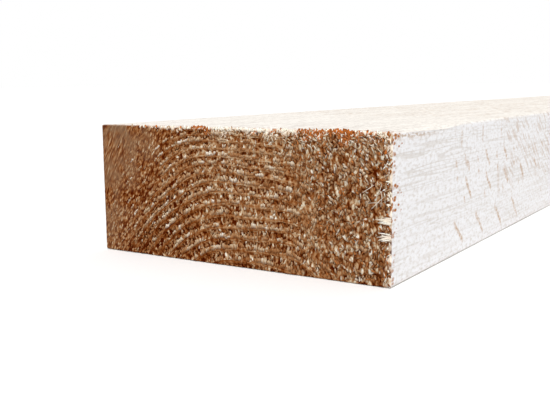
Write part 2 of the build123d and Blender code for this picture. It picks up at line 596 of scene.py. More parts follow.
def saw_plank():
    """The plank as one closed mesh: loops of its section run out and bridged, and a grid on each end."""
    near_x, far_x = LOW.x, HIGH.x
    fine_x = near_x + END_RIM
    close_x = fine_x + sum(RIM_STEPS) + CLOSE_STEP
    long_x = close_x + CLOSE_UP + 2 * CLOSE_STEP
    far_rim_x = far_x - END_RIM
    long_end_x = far_rim_x - FAR_CELL
    body = join_pieces([
        end_grid(near_x, NEAR_CELL),
        section_loop(fine_x, [NEAR_CELL] * 4),
        section_loop(close_x, CLOSE_CELLS),
        section_loop(long_x, LONG_CELLS),
        section_loop(far_rim_x, [FAR_CELL] * 4),
        end_grid(far_x, FAR_CELL),
    ])
    bpy.ops.object.mode_set(mode="EDIT")
    bpy.ops.mesh.select_mode(type="EDGE")
    run_out_evenly(body, long_x, long_end_x - long_x, LONG_STEP)
    bridge(body, long_end_x, far_rim_x)
    bridge(body, far_rim_x, far_x)
    close_end_x = run_out_evenly(body, close_x, CLOSE_UP, CLOSE_STEP)
    bridge(body, close_end_x, long_x)
    fine_end_x = run_out(body, fine_x, RIM_STEPS)
    bridge(body, fine_end_x, close_x)
    bridge(body, near_x, fine_x)
    bpy.ops.mesh.select_all(action="SELECT")
    bpy.ops.mesh.normals_make_consistent(inside=False)
    bpy.ops.object.mode_set(mode="OBJECT")
    body.name = body.data.name = "sawn_plank"
    return body


def bruise_share(points):
    """How far the upper face is pressed down along the bruised arris at points, from 0 to 1."""
    along, inward = points[:, 0] - LOW.x, points[:, 1] - LOW.y
    at_end = BRUISE_END_DROP / BRUISE_DROP
    deepening = at_end + (1 - at_end) * along / BRUISE_DEEPEST
    fading = (BRUISE_DEEPEST + BRUISE_FADE - along) / BRUISE_FADE
    return np.clip(np.minimum(deepening, fading) - inward / BRUISE_REACH, 0, 1)


def bruised_top(points):
    """Height of the upper face at points."""
    return HIGH.z - BRUISE_DROP * bruise_share(points)


def bruise_arris(body):
    """Presses the front upper arris near the near end down to a flat."""
    points = mesh_points(body.data)
    pressed = np.minimum(points[:, 2], bruised_top(points))
    select_only(body)
    bpy.ops.object.mode_set(mode="EDIT")
    mesh = bmesh.from_edit_mesh(body.data)
    for vert, height in zip(mesh.verts, pressed):
        vert.co.z = height
    bmesh.update_edit_mesh(body.data)
    bpy.ops.object.mode_set(mode="OBJECT")
    bpy.ops.object.shade_smooth_by_angle(angle=math.radians(SMOOTH_ANGLE))


# Relief of the sawn surfaces

def leaning_fade(places, line):
    """Smooth rise across a line on an end that leans with height."""
    (low, high), lean, level = line
    return fade(low, high, places[:, 1] + lean * (level - places[:, 2]))


def regions(places):
    """How much a place on an end lies in the smooth left, the ringed middle and the fuzzy right."""
    left = 1 - leaning_fade(places, LEFT_LINE)
    right = leaning_fade(places, RIGHT_LINE)
    return left, 1 - left - right, right


def coarse(places):
    """How coarse the left of an end is: fine at the top corner, coarser down and to the right."""
    return leaning_fade(places, COARSE_LINE)


def slant(places):
    """Angle in degrees from upright of the fibres: slanted on the left, upright from the middle on."""
    return SLANT * (1 - fade(*SLANT_FADE, places[:, 1]))


def rim_depth(across):
    """Depth in millimetres of the broken fringe along the upper rim: ragged, and thin toward the back."""
    waves = rough(on_axis(across, 1), RIM_RAGGED_SIZE, 3, shift=12)
    ragged = from_least(*RIM_RAGGED, fade(*RIM_NOISE, waves))
    return ragged * (RIM_THIN + sum(step * fade(low, high, across) for step, low, high in RIM_DEEPER))


def ragged_rim(places):
    """1 at the upper and front rims of an end, where the saw broke the edge, fading inward."""
    across, up = places[:, 1], places[:, 2]
    depth = rim_depth(across)
    top = TALL - RIM_BELOW
    upper = fade(top - depth, top - RIM_FULL * depth, up)
    upper = upper * from_least(*RIM_STRENGTH, fade(*RIM_COMES_IN, across))
    patches = fade(*FRONT_NOISE, rough(on_axis(up, 2), FRONT_PATCH, 2, shift=4))
    front = fade(*FRONT_RIM, across) * from_least(*FRONT_STRENGTH, patches)
    return np.maximum(upper, front)


def rusty_rim(across):
    """Share of rust along the upper rim: a few patches, thickest toward the front."""
    patches = sum(share * np.exp(-((across - place) / reach) ** power)
                  for share, place, reach, power in RUST_PATCHES)
    front = RUST_FRONT * fade(*RUST_STARTS, across) * (1 - RUST_THINNER * fade(*RUST_THINS, across))
    return np.clip(RUST_LEAST + patches + front, 0, RUST_MOST)


def latewood(ring):
    """1 on the dense band of each ring, 0 on the soft part."""
    return plateau(*LATE_PHASE, ring % 1.0)


def pits(places, ring):
    """Holes torn in the soft part of each ring, with posts left between them, from 0 to 1."""
    arc = np.arctan2(places[:, 1] - PITH_ACROSS, places[:, 2] + PITH_DOWN) * ARC_RADIUS
    along_ring = np.stack((arc, ring * PIT_PER_RING, places[:, 0] / PIT_STRETCH), axis=1)
    spots = rough(along_ring, PIT_SIZE, 2, shift=9)
    return plateau(*PIT_PHASE, ring % 1.0) * fade(*PIT_NOISE, spots)


def end_recess(places, ring):
    """Depth in millimetres that the saw tore below the cut on an end."""
    left, middle, right = regions(places)
    small = rough(places, TEAR_SIZE, 2)
    patchy = rough(places, TEAR_PATCH, 2, shift=1)
    torn = TORN_DEPTH + TORN_SOFT * (1 - latewood(ring)) + TORN_PIT * pits(places, ring) + TORN_SWING * small
    fuzzy = FUZZY_DEPTH + FUZZY_SWING * small + FUZZY_PATCH * patchy
    smooth = SMOOTH_DEPTH + SMOOTH_SWING * small
    return np.clip(left * smooth + middle * torn + right * fuzzy, 0, DEEPEST_TEAR)


def face_recess(places):
    """Depth in millimetres of the saw's ripples on the long faces."""
    ripple = rough(places, RIPPLE_SIZE, 2, shift=2)
    broad = rough(places, BROAD_SIZE, 1, shift=3)
    return np.clip(FACE_DEPTH + FACE_RIPPLE * ripple + FACE_BROAD * broad, 0, DEEPEST_RIPPLE)


def recess(points, places, ring, on_end):
    """Depth in millimetres of the relief all over the plank, no deeper than the bruise allows."""
    depth = np.zeros(len(places))
    depth[on_end] = end_recess(places[on_end], ring[on_end])
    depth[~on_end] = face_recess(places[~on_end])
    below_top = np.abs(points[:, 2] - bruised_top(points)) / MM
    return np.where(bruise_share(points) > 0, np.minimum(depth, below_top), depth)


def keep_for_shaders(mesh, places, ring, on_end):
    """Keeps ring, regions, rim and the pits for their painted shade on the mesh, as values that the shaders
    read.
    """
    left, _, right = regions(places)
    shaded_hole = np.zeros(len(places))
    shaded_hole[on_end] = pits(places[on_end], ring[on_end])
    rim = ragged_rim(places)
    rust = rim * rusty_rim(places[:, 1]) * (1 - RUST_LEFT_OFF * fade(*RUST_LEAVES, places[:, 1]))
    kept = {"ring": ring, "left": left, "right": right, "rim": rim, "rust": rust, "shaded_hole": shaded_hole,
            "coarse": coarse(places)}
    for name, values in kept.items():
        layer = mesh.attributes.new(name, "FLOAT", "POINT")
        layer.data.foreach_set("value", values.astype(np.float32))


def sink(body, depth):
    """Sinks the surface by a depth in millimetres at each vertex, with a Displace modifier."""
    group = body.vertex_groups.new(name="recess")
    for index, weight in enumerate(depth * MM / MAX_RECESS):
        group.add((index,), float(weight), "REPLACE")
    press = body.modifiers.new("recess", "DISPLACE")
    press.vertex_group = "recess"
    press.direction = "NORMAL"
    press.mid_level = 0
    press.strength = -MAX_RECESS
    select_only(body)
    bpy.ops.object.modifier_apply(modifier="recess")
    body.vertex_groups.clear()


def roughen(body):
    """Gives the plank its relief, and keeps what the shaders need to follow it."""
    points = mesh_points(body.data)
    places = plank_mm(points)
    ring = ring_number(places)
    on_end = (places[:, 0] < AT_END) | (places[:, 0] > LONG - AT_END)
    depth = recess(points, places, ring, on_end)
    keep_for_shaders(body.data, places, ring, on_end)
    sink(body, depth)


# Fibres torn up by the saw

Chips = namedtuple("Chips", "roots aims lengths widths bends colours")


def chip_points(chips, tip_share):
    """The nine corners of each chip: three at its sunk root, three where it bends and three at its tip."""
    out = on_axis(np.sign(chips.roots[:, 0] - MID_X), 0)
    sides = np.cross(chips.aims, out)
    sides /= np.maximum(np.linalg.norm(sides, axis=1, keepdims=True), SAME_PLACE)
    backs = np.cross(sides, chips.aims)
    lengths = chips.lengths[:, None]
    levels = (
        (chips.roots - chips.aims * CHIP_ROOT, 1.0),
        (chips.roots + chips.aims * (lengths * CHIP_BEND) + chips.bends * CHIP_BEND_SHARE, CHIP_BEND_WIDTH),
        (chips.roots + chips.aims * lengths + chips.bends, tip_share),
    )
    corners = []
    for centre, scale in levels:
        reach = (chips.widths * scale / 2)[:, None]
        for turn in np.radians(CHIP_TURNS):
            sideways = sides * reach * math.cos(turn)
            corners.append(centre + sideways + backs * CHIP_FLATNESS * reach * math.sin(turn))
    return np.stack(corners, axis=1)


def chip_tones(colours, root_shade):
    """Colours with alpha of the nine corners of each chip: darkened to brown at the root as painted shade,
    plain at the tip.
    """
    # Painted shade: the root corners are darkened toward a dark brown, the bend corners a little, the tips
    # not at all
    painted_shade = np.repeat((root_shade, BEND_SHADE * root_shade, 0.0), 3)[None, :, None]
    tones = np.clip(colours[:, None, :] * (1 - painted_shade) + wood_tone(np.array([ROOT_SHADE_TONE])) * painted_shade, 0, 1)
    alpha = np.ones((len(colours), CHIP_CORNERS, 1))
    return np.concatenate((tones, alpha), axis=2)


def chip_mesh(name, kinds, root_shade, tip_share):
    """Short chips in one mesh: each is a bent three-sided bar with its own colour, darkened to brown at its
    root as painted shade.
    """
    chips = Chips(*(np.concatenate(parts) for parts in zip(*kinds)))
    points = chip_points(chips, tip_share)
    starts = np.arange(len(points))[:, None] * CHIP_CORNERS
    faces = []
    for face in CHIP_FACES:
        faces.extend((starts + np.array(face)).tolist())
    mesh = bpy.data.meshes.new(name)
    mesh.from_pydata(points.reshape(-1, 3).tolist(), [], faces)
    mesh.polygons.foreach_set("use_smooth", np.ones(len(mesh.polygons), dtype=bool))
    tone = mesh.attributes.new("tone", "FLOAT_COLOR", "POINT")
    tone.data.foreach_set("color", chip_tones(chips.colours, root_shade).reshape(-1).astype(np.float32))
    piece = bpy.data.objects.new(name, mesh)
    bpy.context.scene.collection.objects.link(piece)
    return piece


def near_end_points(places, depth):
    """Points of the near end, in metres, for places in millimetres, sunk by a depth."""
    x = np.full(len(places), LOW.x + depth)
    return np.stack((x, MID_Y - places[:, 1] * MM, LOW.z + places[:, 2] * MM), axis=1)


def aim(angle, lean):
    """Directions on the near end: an angle from upright toward the front side, leaning out of the end."""
    return np.stack((-np.sin(lean), -np.sin(angle) * np.cos(lean), np.cos(angle) * np.cos(lean)), axis=1)


def scatter(rng, along):
    """Places in millimetres over the end at along, one in each cell of a grid, shaken about."""
    across, up = np.meshgrid(np.arange(*FUZZ_ACROSS, FUZZ_PITCH), np.arange(*FUZZ_UP, FUZZ_PITCH))
    across = across.ravel() + rng.uniform(-FUZZ_SHAKE, FUZZ_SHAKE, across.size) * FUZZ_PITCH
    up = up.ravel() + rng.uniform(-FUZZ_SHAKE, FUZZ_SHAKE, up.size) * FUZZ_PITCH
    across = np.clip(across, FUZZ_MARGIN - HALF, HALF - FUZZ_MARGIN)
    up = np.clip(up, FUZZ_MARGIN, TALL - FUZZ_MARGIN)
    return np.stack((np.full_like(across, along), across, up), axis=1)


def ring_rows(rng, pitch, phase, along):
    """Places along the rings of the end at along, about a pitch apart, and the slope of the ring at each."""
    up = np.arange(*ROWS_UP, ROW_STEP)
    found, slopes = [], []
    for column in np.arange(*ROWS_ACROSS, pitch / COLUMNS_PER_PITCH):
        line = np.stack((np.full_like(up, along), np.full_like(up, column), up), axis=1)
        ring = ring_number(line)
        crossing = np.nonzero(np.diff(np.floor(ring - phase)))[0]
        beside = line[crossing] + np.array((0, SIDE_STEP, 0))
        rise_up = (ring[crossing + 1] - ring[crossing]) / ROW_STEP
        rise_across = (ring_number(beside) - ring[crossing]) / SIDE_STEP
        slope = -rise_across / rise_up
        taken = rng.random(len(crossing)) < np.hypot(1, slope) / COLUMNS_PER_PITCH
        found.append(line[crossing][taken])
        slopes.append(np.arctan(slope[taken]))
    places = np.concatenate(found)
    places[:, 1] += rng.uniform(-COLUMN_SHAKE, COLUMN_SHAKE, len(places)) * pitch / COLUMNS_PER_PITCH
    return places, np.concatenate(slopes)


def either_way(rng, count):
    """Half a turn for about half of the chips, so that they point up or down."""
    return np.where(rng.random(count) < 0.5, math.pi, 0.0)


def blend_of(rng, count, ranges):
    """Random numbers from several ranges, each given as its share and its two ends."""
    pick = rng.random(count)
    made = np.zeros(count)
    floor = 0.0
    for share, low, high in ranges:
        inside = (pick >= floor) & (pick <= floor + share)
        made[inside] = rng.uniform(low, high, inside.sum())
        floor += share
    return made


def some_of(rng, share, count, a, b):
    """Colours from a for a share of the chips, and from b for the rest."""
    return np.where((rng.random(count) < share)[:, None], a, b)


def tuft_tones(rng, clumps, patch):
    """Tone of each clump: half are pale, duller at the back, right and underside, paler in patches."""
    across, up = clumps[:, 1], clumps[:, 2]
    tone = blend_of(rng, len(clumps), TUFT_TONES) - DULL_BACK * (1 - fade(*DULL_BACK_FADE, across))
    on_right = DULL_RIGHT - LESS_DULL * fade(*LESS_DULL_FADE, up)
    tone = tone - fade(*DULL_RIGHT_FADE, across) * on_right
    tone = tone - DULL_HIGH * fade(*DULL_HIGH_FADE, up) - DULL_LOW * (1 - fade(*DULL_LOW_FADE, up))
    return tone + PATCHY_TONE * (patch - PATCHY_MEAN)


def tuft_clumps(rng, along):
    """Places of clumps on the dense band of each ring, the slope of the ring there, and a tone for each."""
    clumps, slope = ring_rows(rng, TUFT_PITCH, TUFT_PHASE, along)
    left, middle, right = regions(clumps)
    patch = fade(*TUFT_NOISE, rough(clumps, TUFT_PATCH, 2, shift=5))
    fewer = 1 - TUFTS_FEWER * fade(*TUFTS_FEWER_FADE, clumps[:, 1])
    share = middle * from_least(*TUFTS_MIDDLE, patch) * fewer
    share = share + left * TUFTS_LEFT * coarse(clumps) + right * TUFTS_RIGHT
    kept = rng.random(len(clumps)) < share
    return clumps[kept], slope[kept], tuft_tones(rng, clumps[kept], patch[kept])


def row_tufts(rng, along):
    """Pale tufts that stand on the dense band of each ring: clumps of a few chips side by side."""
    clumps, slope, tone = tuft_clumps(rng, along)
    number = len(clumps)
    turn = np.radians(rng.normal(0, TUFT_TURN, number) + slant(clumps))
    each = rng.integers(*TUFT_CHIPS, number)
    owner = np.repeat(np.arange(number), each)
    order = np.concatenate([np.arange(n) - (n - 1) / 2 for n in each])
    count = len(owner)
    places, slope, left = clumps[owner], slope[owner], regions(clumps)[0][owner]
    apart = order * rng.uniform(*TUFT_APART, count)
    places[:, 1] += apart * np.cos(slope)
    places[:, 2] += apart * np.sin(slope)
    outward = TUFT_OUTWARD * (1 - fade(*TUFT_INWARD_FADE, places[:, 1]))
    places[:, 1] -= outward * np.sin(slope)
    places[:, 2] += outward * np.cos(slope)
    angle = turn[owner] + np.radians(order * rng.uniform(*TUFT_FAN, count))
    tall = rng.uniform(*TUFT_TALL, number) * ring_spacing(ring_number(clumps))
    lengths = tall[owner] * rng.uniform(*TUFT_UNEVEN, count) * MM
    places[:, 2] += rng.normal(*TUFT_LIFT, count)
    widths = rng.uniform(*TUFT_WIDE, count) * (1 - TUFT_SLIM_LEFT * left) * MM
    bends = rng.normal(0, TUFT_BEND, (count, 3)) * MM
    lean = np.radians(rng.uniform(*TUFT_LEAN, count) * (1 - TUFT_FLAT_LEFT * left))
    shares = np.clip(tone[owner] + rng.normal(0, CHANCE_TONE, count), 0, 1)
    roots = near_end_points(places, TUFT_SUNK)
    return Chips(roots, aim(angle, lean), lengths, widths, bends, wood_tone(shares))


def fuzz_places(rng, along):
    """Where loose fuzz grows: dense on the right, thin elsewhere, and thinner at the rim."""
    places = scatter(rng, along)
    left, middle, right = regions(places)
    soft = 1 - latewood(ring_number(places))
    share = middle * FUZZ_MIDDLE * soft + right * FUZZ_RIGHT
    share = share + left * from_least(FUZZ_LEFT, FUZZ_COARSE, coarse(places))
    kept = rng.random(len(places)) < share * (1 - FUZZ_RIM * ragged_rim(places))
    return places[kept]


def fuzz_colours(rng, places):
    """Colours of loose fuzz: of all tones, some of it orange on the right."""
    left, middle, right = regions(places)
    count = len(places)
    wild = blend_of(rng, count, WILD_TONES)
    soft = blend_of(rng, count, SOFT_TONES)
    slanted = blend_of(rng, count, SLANTED_TONES)
    slanted = SLANTED_MEAN + (slanted - SLANTED_MEAN) * from_least(*SLANTED_CONTRAST, coarse(places))
    colours = wood_tone(np.clip(wild * right + soft * middle + slanted * left, 0, 1))
    orange = light_of(ORANGE_BROWN) * rng.uniform(*ORANGE_BRIGHT, (count, 1))
    return some_of(rng, ORANGE_SHARE * right, count, orange, colours)


def loose_fuzz(rng, along):
    """Loose chips: wild with a few long ones on the right, upright in the middle, slanted on the left."""
    places = fuzz_places(rng, along)
    left, middle, right = regions(places)
    count = len(places)
    colours = fuzz_colours(rng, places)
    tilt = slant(places) - RIGHT_TILT * right * fade(*RIGHT_TILT_FADE, places[:, 2])
    swing = middle * TURN_MIDDLE + right * TURN_RIGHT + left * TURN_LEFT
    angle = np.radians(rng.normal(0, 1, count) * swing + tilt)
    angle = angle + either_way(rng, count)
    long = np.where(rng.random(count) < LONG_SHARE, LONG_TIMES, 1.0)
    longer = 1 - SHORT_LEFT * left - SHORT_MIDDLE * middle + LONG_RIGHT * right * (long - LONG_EVEN)
    lengths = rng.uniform(*FUZZ_LONG, count) * longer * MM
    widths = rng.uniform(*FUZZ_WIDE, count) * (1 + WIDE_MIDDLE * middle - SLIM_LEFT * left) * MM
    widths = widths * (1 - SLIM_LONG * right * (long - 1))
    bends = rng.normal(0, 1, (count, 3)) * ((FUZZ_BEND + FUZZ_BEND_RIGHT * right) * MM)[:, None]
    lean = np.radians(rng.uniform(*FUZZ_LEAN, count) * (1 - FLAT_MIDDLE * middle - FLAT_LEFT * left))
    return Chips(near_end_points(places, FUZZ_SUNK), aim(angle, lean), lengths, widths, bends, colours)


def inside_outline(chips):
    """The chips that stay within the outline of the end."""
    tips = chips.roots + chips.aims * chips.lengths[:, None] + chips.bends
    lowest = np.minimum(tips[:, 2], chips.roots[:, 2] - chips.widths / 2)
    kept = (tips[:, 2] < bruised_top(tips) - OUTLINE_MARGIN) & (lowest > LOW.z + OUTLINE_MARGIN)
    kept &= np.abs(tips[:, 1] - MID_Y) < WIDTH / 2 - OUTLINE_MARGIN
    return Chips(*(part[kept] for part in chips))


def at_far_end(chips):
    """Chips of the near end mirrored onto the far end."""
    flip = np.array((-1.0, 1, 1))
    moved = chips.roots * flip + np.array((2 * MID_X, 0, 0))
    return chips._replace(roots=moved, aims=chips.aims * flip, bends=chips.bends * flip)


def end_fuzz(rng, along):
    """All the tufts and fuzz of the end at along, as they would lie on the near end."""
    return [inside_outline(row_tufts(rng, along)), inside_outline(loose_fuzz(rng, along))]


def torn_fibres():
    """The fuzz on the near end."""
    kinds = end_fuzz(np.random.default_rng(SEED), 0.0)
    return chip_mesh("torn_fibres", kinds, FUZZ_ROOT_SHADE, FUZZ_TIPS)


def far_fibres():
    """The fuzz on the far end."""
    kinds = end_fuzz(np.random.default_rng(SEED + 2), LONG)
    return chip_mesh("far_fibres", [at_far_end(kind) for kind in kinds], FUZZ_ROOT_SHADE, FUZZ_TIPS)


def rim_colours(rng, count, rusty):
    """Colours of rim tufts: a share of them rusty, the rest cream with some plain brown wood among it."""
    rust = light_of(RUST) * rng.uniform(*RUST_BRIGHT, (count, 1))
    cream = light_of(RIM_CREAM) * rng.uniform(*CREAM_BRIGHT, (count, 1))
    plain = wood_tone(rng.uniform(*PLAIN_TONES, count))
    cream = some_of(rng, PLAIN_SHARE, count, plain, cream)
    return some_of(rng, rusty, count, rust, cream)


def grow(rng, places, angle, growth):
    """The roots, directions, lengths, widths and bends of chips at places on the near end."""
    count = len(places)
    lengths = rng.uniform(*growth.lengths, count) * MM
    widths = rng.uniform(*growth.widths, count) * MM
    bends = rng.normal(0, growth.bend, (count, 3)) * MM
    lean = np.radians(rng.uniform(*growth.lean, count))
    return near_end_points(places, growth.sunk * MM), aim(angle, lean), lengths, widths, bends


def upper_rim_tufts(rng):
    """Tufts that stand up out of the upper rim, as deep as the rim is broken, browner lower down."""
    across = rng.uniform(*RIM_ACROSS, RIM_TRIED)
    depth = rim_depth(across)
    share = np.maximum(from_least(*RIM_SHARE, depth), rusty_rim(across)) * fade(*RIM_STARTS, across)
    kept = rng.random(RIM_TRIED) < share
    across, depth = across[kept], depth[kept]
    count = len(across)
    places = on_axis(across, 1)
    top = (bruised_top(near_end_points(places, 0)) - LOW.z) / MM
    sunk = rng.uniform(0, 1, count) ** RIM_CROWDING
    places[:, 2] = top - RIM_FIRST - sunk * depth * RIM_DOWN
    angle = np.radians(rng.normal(0, RIM_TURN, count))
    roots, aims, lengths, widths, bends = grow(rng, places, angle, RIM_GROWTH)
    bends[:, 0] += RIM_TUCK * MM
    rusty = rusty_rim(across)
    colours = rim_colours(rng, count, rusty)
    wooden = (RIM_WOODEN * fade(*RIM_WOODEN_FADE, sunk) * (1 - rusty))[:, None]
    colours = colours * (1 - wooden) + wood_tone(np.full(count, RIM_WOOD_TONE)) * wooden
    return Chips(roots, aims, lengths, widths, bends, colours)


def pale_strands(rng):
    """Long pale strands that lie on the end a little below the rusty part of the upper rim."""
    across = rng.uniform(*STRANDS_ACROSS, STRANDS)
    up = STRANDS_TOP - rng.uniform(0, 1, STRANDS) ** STRANDS_CROWDING * STRANDS_DOWN
    places = np.stack((np.zeros(STRANDS), across, up), axis=1)
    angle = np.radians(rng.normal(*STRANDS_TURN, STRANDS))
    grown = grow(rng, places, angle, STRAND_GROWTH)
    return inside_outline(Chips(*grown, wood_tone(rng.uniform(*STRANDS_TONES, STRANDS))))


def front_rim_tufts(rng):
    """Tufts along the front rim, in patches clear of the flat splinters: cream, rusty and brown ones."""
    up = rng.uniform(*FRONT_UP, FRONT_TRIED)
    patch = fade(*CLUMP_NOISE, rough(np.stack((up, up, up), axis=1), FRONT_CLUMP, 2, shift=6))
    clear = np.min([np.abs(up - height) for height in FLAT_SPLINTERS], axis=0) > SPLINTER_CLEAR
    up = up[(rng.random(FRONT_TRIED) < from_least(*FRONT_SHARE, patch)) & clear]
    count = len(up)
    places = np.stack((np.zeros(count), FRONT_EDGE - rng.uniform(0, FRONT_DEEP, count), up), axis=1)
    angle = np.radians(rng.normal(*FRONT_TURN, count)) + either_way(rng, count)
    grown = grow(rng, places, angle, FRONT_GROWTH)
    plain = rng.random(count) >= 1 - FRONT_PLAIN
    cream = rim_colours(rng, count, FRONT_RUSTY)
    return Chips(*grown, np.where(plain[:, None], wood_tone(rng.random(count)), cream))


def splinters(rng):
    """Pale splinters at the front rim: two flat chips, and a few long slivers above them."""
    spread = np.linspace(-SPLINTER_SPREAD, SPLINTER_SPREAD, SPLINTER_STRANDS)
    flat = [(SPLINTER_ACROSS, height + step, SPLINTER_ANGLE) for height in FLAT_SPLINTERS for step in spread]
    across, up, angle = np.array(flat + list(SLIVERS)).T
    count = len(up)
    broad = np.arange(count) < len(flat)
    across = across - rng.uniform(0, SPLINTER_SHAKE, count)
    places = np.stack((np.zeros(count), across, up), axis=1)
    angle = np.radians(angle + rng.normal(0, SPLINTER_TURN, count))
    lengths = np.where(broad, rng.uniform(*SPLINTER_LONG, count), rng.uniform(*SLIVER_LONG, count)) * MM
    widths = np.where(broad, SPLINTER_WIDE, SLIVER_WIDE) * MM
    bends = rng.normal(0, 1, (count, 3)) * np.where(broad, SPLINTER_BEND, SLIVER_BEND)[:, None] * MM
    lean = np.radians(rng.uniform(*SPLINTER_LEAN, count))
    bright = np.where(broad, rng.uniform(*SPLINTER_BRIGHT, count), rng.uniform(*SLIVER_BRIGHT, count))
    colours = light_of(RIM_CREAM) * bright[:, None]
    return Chips(near_end_points(places, -SPLINTER_PROUD), aim(angle, lean), lengths, widths, bends, colours)


def rim_fibres():
    """The ragged fringe of the near end."""
    makers = (upper_rim_tufts, pale_strands, front_rim_tufts, splinters)
    kinds = [make(np.random.default_rng(SEED + 3 + index)) for index, make in enumerate(makers)]
    return chip_mesh("rim_fibres", kinds, RIM_ROOT_SHADE, RIM_TIPS)


# Helpers for materials

def node(tree, kind, settings=None, **inputs):
    """Adds a shader node; an input that is a socket is linked and any other is set."""
    made = tree.nodes.new("ShaderNode" + kind)
    for name, value in (settings or {}).items():
        setattr(made, name, value)
    for name, value in inputs.items():
        plug(tree, made.inputs[name.replace("_", " ")], value)
    return made


def plug(tree, socket, value):
    """Links a socket to another, or sets it to a value."""
    if isinstance(value, bpy.types.NodeSocket):
        tree.links.new(value, socket)
    else:
        socket.default_value = value


def calc(tree, operation, *values):
    """The result of a Math node."""
    made = node(tree, "Math", {"operation": operation})
    for socket, value in zip(made.inputs, values):
        plug(tree, socket, value)
    return made.outputs[0]


def times(tree, product, *factors):
    """The product of several numbers."""
    for factor in factors:
        product = calc(tree, "MULTIPLY", product, factor)
    return product


def scaled(tree, value, scale, base):
    """A value times a scale, on top of a base."""
    return calc(tree, "MULTIPLY_ADD", value, scale, base)


def rise(tree, value, low, high, bottom=0.0, top=1.0):
    """Smooth rise of a value from bottom at low to top at high."""
    made = node(tree, "MapRange", {"interpolation_type": "SMOOTHSTEP"})
    for socket, number in zip(made.inputs, (value, low, high, bottom, top)):
        plug(tree, socket, number)
    return made.outputs[0]


def fall(tree, value, low, high):
    """Smooth fall of a value from 1 at low to 0 at high."""
    return rise(tree, value, low, high, 1.0, 0.0)


def rise_and_fall(tree, value, start, full, ebb, end):
    """Smooth rise of a value from start to full, and smooth fall from ebb to end."""
    return times(tree, rise(tree, value, start, full), fall(tree, value, ebb, end))


def blend(tree, share, a, b):
    """A number between a and b by a share."""
    made = node(tree, "Mix", {"data_type": "FLOAT"})
    for index, value in ((0, share), (2, a), (3, b)):
        plug(tree, made.inputs[index], value)
    return made.outputs[0]


def mix(tree, share, a, b):
    """A colour between a and b by a share."""
    made = node(tree, "Mix", {"data_type": "RGBA"})
    for index, value in ((0, share), (6, a), (7, b)):
        plug(tree, made.inputs[index], value)
    return made.outputs[2]


def stretched(tree, place, sizes, turn=(0, 0, 0)):
    """Object coordinates turned by degrees and scaled to sizes in millimetres."""
    made = node(tree, "Mapping", {"vector_type": "TEXTURE"}, Vector=place)
    made.inputs["Rotation"].default_value = [math.radians(t) for t in turn]
    made.inputs["Scale"].default_value = [s * MM for s in sizes]
    return made.outputs[0]


def speckle(tree, vector, detail, roughness=0.5):
    """Noise from about 0 to 1 with features of about one unit."""
    return node(tree, "TexNoise", Vector=vector, Scale=1.0, Detail=detail, Roughness=roughness).outputs[0]


def mottle(tree, place, sizes, detail, turn=(0, 0, 0), roughness=0.5):
    """Noise with features of the given sizes in millimetres."""
    return speckle(tree, stretched(tree, place, sizes, turn), detail, roughness)


def cells(tree, place, sizes, turn=(0, 0, 0)):
    """Cells of the given sizes in millimetres: the distance from each middle, and a number for each."""
    made = node(tree, "TexVoronoi", Vector=stretched(tree, place, sizes, turn), Scale=1.0)
    number = node(tree, "SeparateXYZ", Vector=made.outputs["Color"]).outputs[0]
    return made.outputs["Distance"], number


def ramp(tree, share, stops):
    """A colour along a row of stops by a share."""
    made = node(tree, "ValToRGB", Fac=share)
    points = made.color_ramp.elements
    for place, colour in stops[1:-1]:
        points.new(place)
    for point, (place, colour) in zip(points, stops):
        point.position = place
        point.color = linear(colour)
    return made.outputs[0]


def attribute(tree, name, output="Fac"):
    """A value that the mesh keeps at its vertices."""
    return node(tree, "Attribute", {"attribute_type": "GEOMETRY", "attribute_name": name}).outputs[output]


def new_material(name):
    """A material with a plain surface, its node tree, that surface, and Object coordinates."""
    made = bpy.data.materials.new(name)
    made.use_nodes = True
    tree = made.node_tree
    tree.nodes.clear()
    surface = node(tree, "BsdfPrincipled")
    output = node(tree, "OutputMaterial")
    tree.links.new(surface.outputs[0], output.inputs[0])
    place = node(tree, "TexCoord").outputs["Object"]
    return made, tree, surface, place


def dress(tree, surface, colour, roughness, gloss):
    """Gives a surface its colour, roughness and gloss."""
    plug(tree, surface.inputs["Base Color"], colour)
    surface.inputs["Roughness"].default_value = roughness
    surface.inputs["Specular IOR Level"].default_value = gloss


def emboss(tree, surface, height, distance, strength):
    """Gives a surface fine bumps."""
    bump = node(tree, "Bump", Height=height, Distance=distance, Strength=strength)
    plug(tree, surface.inputs["Normal"], bump.outputs[0])


# The sawn faces

def saw_dash(tree, along, up, start, height, run, drop):
    """One slanting dash of the saw that comes again at every repeat along the plank."""
    slope = drop / run
    steepness = math.hypot(1, slope)
    soft = DASH_SOFT / steepness
    lead = 2 * soft
    local = calc(tree, "FLOORED_MODULO", calc(tree, "SUBTRACT", along, start - lead), MARK_REPEAT)
    line = scaled(tree, local, -slope, height + lead * slope)
    off = times(tree, calc(tree, "ABSOLUTE", calc(tree, "SUBTRACT", up, line)), 1 / steepness)
    head = rise(tree, local, lead - soft, lead + soft)
    tail = fall(tree, local, lead + run - soft, lead + run + soft)
    return times(tree, head, tail, fall(tree, off, *DASH_WIDE))


def saw_marks(tree, place, along, up, cloudy, fluffy):
    """All the dashes, a little bent and worn: clear by the near end and in patches further on."""
    wander = scaled(tree, mottle(tree, place, BEND_SIZE, 1), DASH_WANDER, -DASH_WANDER / 2)
    bent_up = calc(tree, "ADD", up, wander)
    dashes = None
    for start, height, run, drop in SAW_DASHES:
        dash = saw_dash(tree, along, bent_up, start, height, run, drop)
        dashes = dash if dashes is None else calc(tree, "MAXIMUM", dashes, dash)
    patches = calc(tree, "MAXIMUM", fall(tree, along, *DASHES_OUT), rise(tree, cloudy, 0.5, 0.62))
    patches = times(tree, patches, rise(tree, along, *DASHES_IN))
    return times(tree, dashes, patches, rise(tree, fluffy, 0.35, 0.6, 0.35, 1.0))


